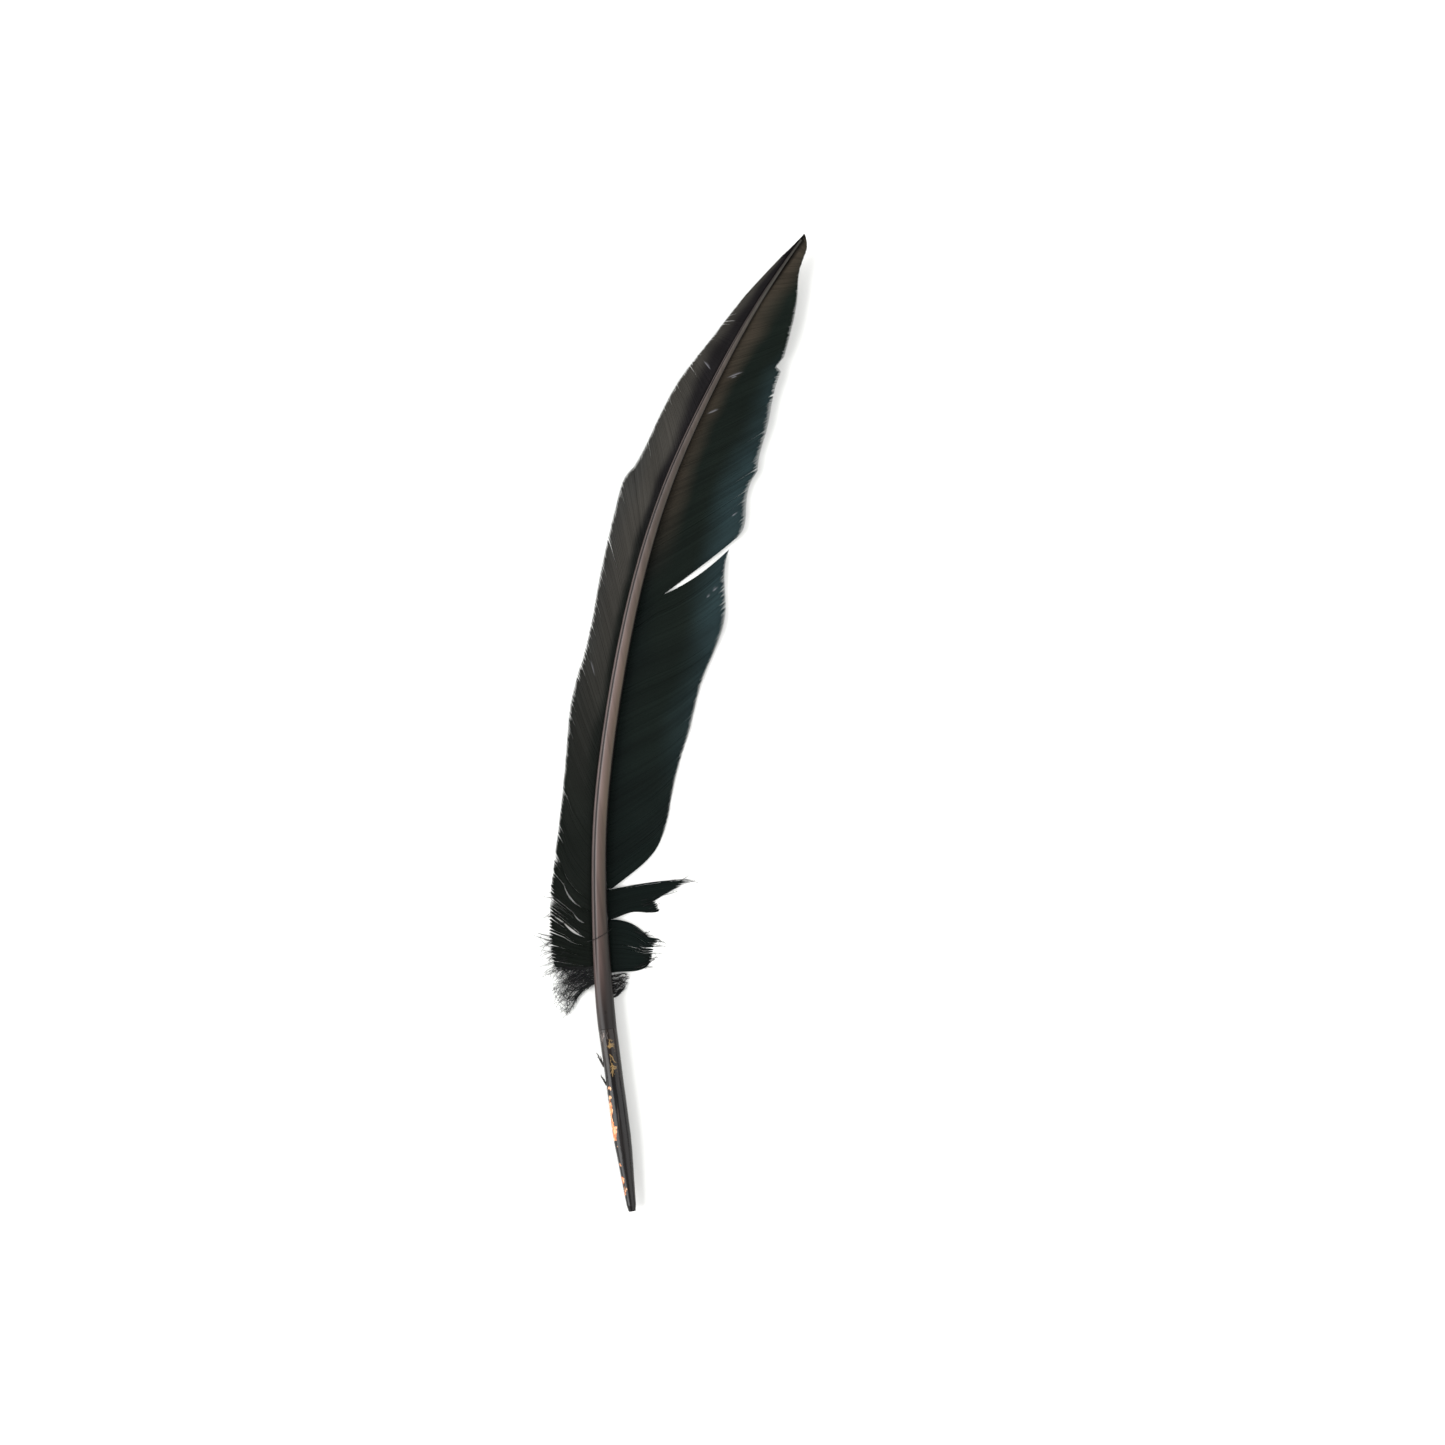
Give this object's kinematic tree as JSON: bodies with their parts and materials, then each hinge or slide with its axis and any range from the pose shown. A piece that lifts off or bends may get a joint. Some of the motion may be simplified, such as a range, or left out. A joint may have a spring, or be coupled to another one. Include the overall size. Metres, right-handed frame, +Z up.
{
  "type": "quill pen",
  "caption": "Dyed wing quill with a hollow horn tube, a grooved curved shaft, a wide and a narrow barbed vane, torn lobes and down; uncut.",
  "frame": {"origin": "centre of the opening at the lower end of the horn tube", "axes": "+Y along the horn tube towards the feather's tip, +X towards the wide vane, +Z up from the ground, on the grooved side of the shaft"},
  "size_m": [0.107, 0.286, 0.0068],
  "materials": {
    "horn": "glossy dyed horn, chipped to amber",
    "shaft": "satin dyed horn",
    "pith": "matte foam-like pith",
    "membrane": "thin dry membrane",
    "inner_vane": "soft barbs with a blue-green sheen",
    "outer_vane": "matte stiff barbs",
    "down": "soft loose barbs"
  },
  "bodies": {
    "root": {"calamus_barrel": "horn", "pulp_caps": "membrane", "upper_pore_plug": "membrane", "rachis_cortex": "shaft", "rachis_pith": "pith", "inner_web_tip": "inner_vane", "inner_web_upper": "inner_vane", "inner_web_middle": "inner_vane", "inner_web_lower": "inner_vane", "inner_lobe_upper": "inner_vane", "inner_lobe_lower": "inner_vane", "inner_curled_tuft": "down", "outer_web_upper": "outer_vane", "outer_web_lower": "outer_vane", "outer_barb_group_1": "outer_vane", "outer_barb_group_2": "outer_vane", "outer_barb_group_3": "outer_vane", "outer_barb_group_4": "outer_vane", "outer_down_tuft": "down", "barb_stubs": "horn"}
  },
  "joints": []
}
